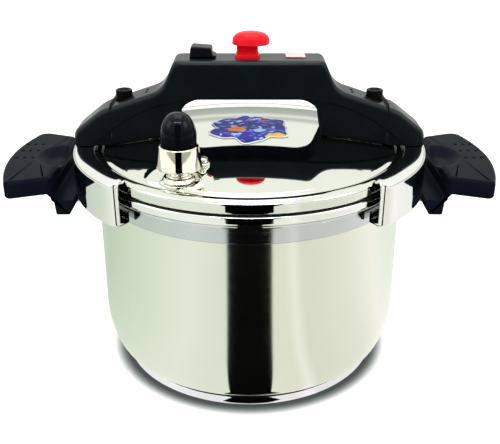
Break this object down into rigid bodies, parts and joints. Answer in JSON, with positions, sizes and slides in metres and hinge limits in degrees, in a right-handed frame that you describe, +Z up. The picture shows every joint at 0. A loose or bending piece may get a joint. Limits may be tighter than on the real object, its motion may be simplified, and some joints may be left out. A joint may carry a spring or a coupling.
{
  "type": "pressure cooker",
  "caption": "Clamp-lid pressure cooker: steel pot on a thick base, domed lid, bridge handle whose press knob slides curved jaws over the rim, weight valve and side grips.",
  "frame": {"origin": "on the pot's axis at the surface it stands on, with the overall box centred in X and Y", "axes": "+X along the bridge handle and through both side grips, +Y away from the regulator weight, +Z up"},
  "size_m": [0.389, 0.254, 0.266],
  "materials": {
    "pot_body": "satin polished",
    "base_disc": "polished",
    "handle_bracket_left": "plain",
    "handle_bracket_right": "plain",
    "side_handle_left": "moulded bakelite",
    "side_handle_right": "moulded bakelite",
    "handle_screw_left_front": "plain",
    "handle_screw_left_back": "plain",
    "handle_screw_right_front": "plain",
    "handle_screw_right_back": "plain",
    "lid": "mirror polished",
    "gasket": "plain",
    "vent_seat": "polished",
    "vent_pipe": "polished",
    "vent_nut": "plain",
    "safety_valve_nut": "plain",
    "regulator_weight": "polished",
    "regulator_cap": "moulded bakelite",
    "safety_valve_body": "polished",
    "safety_valve_poppet": "polished",
    "lid_badge": "printed foil",
    "bridge_shell": "moulded bakelite",
    "end_cap_left": "moulded bakelite",
    "end_cap_right": "moulded bakelite",
    "end_cap_screw_left": "plain",
    "end_cap_screw_right": "plain",
    "base_plate_left": "plain",
    "base_plate_right": "plain",
    "lid_screw_left_front": "plain",
    "lid_screw_left_back": "plain",
    "lid_screw_right_front": "plain",
    "lid_screw_right_back": "plain",
    "jaw_left": "mirror polished",
    "jaw_right": "mirror polished",
    "slide_arm_left": "plain",
    "slide_arm_right": "plain",
    "cam_plate": "plain",
    "jaw_rivet_left_front": "plain",
    "jaw_rivet_left_back": "plain",
    "jaw_rivet_right_front": "plain",
    "jaw_rivet_right_back": "plain",
    "red_knob": "moulded",
    "knob_pin": "plain",
    "knob_spring_front": "spring wire",
    "knob_spring_back": "spring wire",
    "latch_spring_left": "spring wire",
    "latch_spring_right": "spring wire",
    "latch_button_left": "moulded",
    "latch_button_right": "moulded",
    "slider_knob": "moulded",
    "slider_keeper": "plain",
    "beam_plate": "printed foil"
  },
  "bodies": {
    "pot": {"pot_body": "pot_body", "base_disc": "base_disc", "handle_bracket_left": "handle_bracket_left", "handle_bracket_right": "handle_bracket_right", "side_handle_left": "side_handle_left", "side_handle_right": "side_handle_right", "handle_screw_left_front": "handle_screw_left_front", "handle_screw_left_back": "handle_screw_left_back", "handle_screw_right_front": "handle_screw_right_front", "handle_screw_right_back": "handle_screw_right_back"},
    "lid": {"lid": "lid", "gasket": "gasket", "vent_seat": "vent_seat", "vent_pipe": "vent_pipe", "vent_nut": "vent_nut", "safety_valve_body": "safety_valve_body", "safety_valve_nut": "safety_valve_nut", "lid_badge": "lid_badge", "bridge_shell": "bridge_shell", "beam_plate": "beam_plate", "base_plate_left": "base_plate_left", "base_plate_right": "base_plate_right", "lid_screw_left_front": "lid_screw_left_front", "lid_screw_left_back": "lid_screw_left_back", "lid_screw_right_front": "lid_screw_right_front", "lid_screw_right_back": "lid_screw_right_back", "knob_spring_front": "knob_spring_front", "knob_spring_back": "knob_spring_back", "latch_spring_left": "latch_spring_left", "latch_spring_right": "latch_spring_right"},
    "left_jaw": {"jaw_left": "jaw_left", "slide_arm_left": "slide_arm_left", "jaw_rivet_left_front": "jaw_rivet_left_front", "jaw_rivet_left_back": "jaw_rivet_left_back", "end_cap_left": "end_cap_left", "end_cap_screw_left": "end_cap_screw_left"},
    "right_jaw": {"jaw_right": "jaw_right", "slide_arm_right": "slide_arm_right", "jaw_rivet_right_front": "jaw_rivet_right_front", "jaw_rivet_right_back": "jaw_rivet_right_back", "end_cap_right": "end_cap_right", "end_cap_screw_right": "end_cap_screw_right"},
    "knob": {"red_knob": "red_knob", "cam_plate": "cam_plate", "knob_pin": "knob_pin"},
    "slider": {"slider_knob": "slider_knob", "slider_keeper": "slider_keeper"},
    "latch_left": {"latch_button_left": "latch_button_left"},
    "latch_right": {"latch_button_right": "latch_button_right"},
    "regulator": {"regulator_weight": "regulator_weight", "regulator_cap": "regulator_cap"},
    "poppet": {"safety_valve_poppet": "safety_valve_poppet"}
  },
  "joints": [
    {"name": "lid_lift", "type": "slide", "parent": "pot", "child": "lid", "axis": [0, 0, 1], "range_m": [0, 0.15]},
    {"name": "left_jaw_slide", "type": "slide", "parent": "lid", "child": "left_jaw", "axis": [-1, 0, 0], "range_m": [0, 0.009]},
    {"name": "right_jaw_slide", "type": "slide", "parent": "lid", "child": "right_jaw", "axis": [1, 0, 0], "range_m": [0, 0.009]},
    {"name": "knob_press", "type": "slide", "parent": "lid", "child": "knob", "axis": [0, 0, -1], "range_m": [0, 0.006], "stiffness_N_per_m": 500, "springref_m": -0.002, "deforming": ["knob_spring_front", "knob_spring_back"]},
    {"name": "slider_slide", "type": "slide", "parent": "lid", "child": "slider", "axis": [1, 0, 0], "range_m": [0, 0.008]},
    {"name": "latch_press_left", "type": "slide", "parent": "lid", "child": "latch_left", "axis": [0, 0, -1], "range_m": [0, 0.003], "stiffness_N_per_m": 300, "springref_m": -0.001, "deforming": ["latch_spring_left"]},
    {"name": "latch_press_right", "type": "slide", "parent": "lid", "child": "latch_right", "axis": [0, 0, -1], "range_m": [0, 0.003], "stiffness_N_per_m": 300, "springref_m": -0.001, "deforming": ["latch_spring_right"]},
    {"name": "regulator_lift", "type": "slide", "parent": "lid", "child": "regulator", "axis": [0, 0, 1], "range_m": [0, 0.022]},
    {"name": "poppet_lift", "type": "slide", "parent": "lid", "child": "poppet", "axis": [0, 0, 1], "range_m": [0, 0.002], "stiffness_N_per_m": 400, "springref_m": -0.001}
  ],
  "couplings": [
    {"joint": "right_jaw_slide", "follows": "left_jaw_slide", "ratio": 1},
    {"joint": "knob_press", "follows": "left_jaw_slide", "ratio": 0.66667}
  ]
}
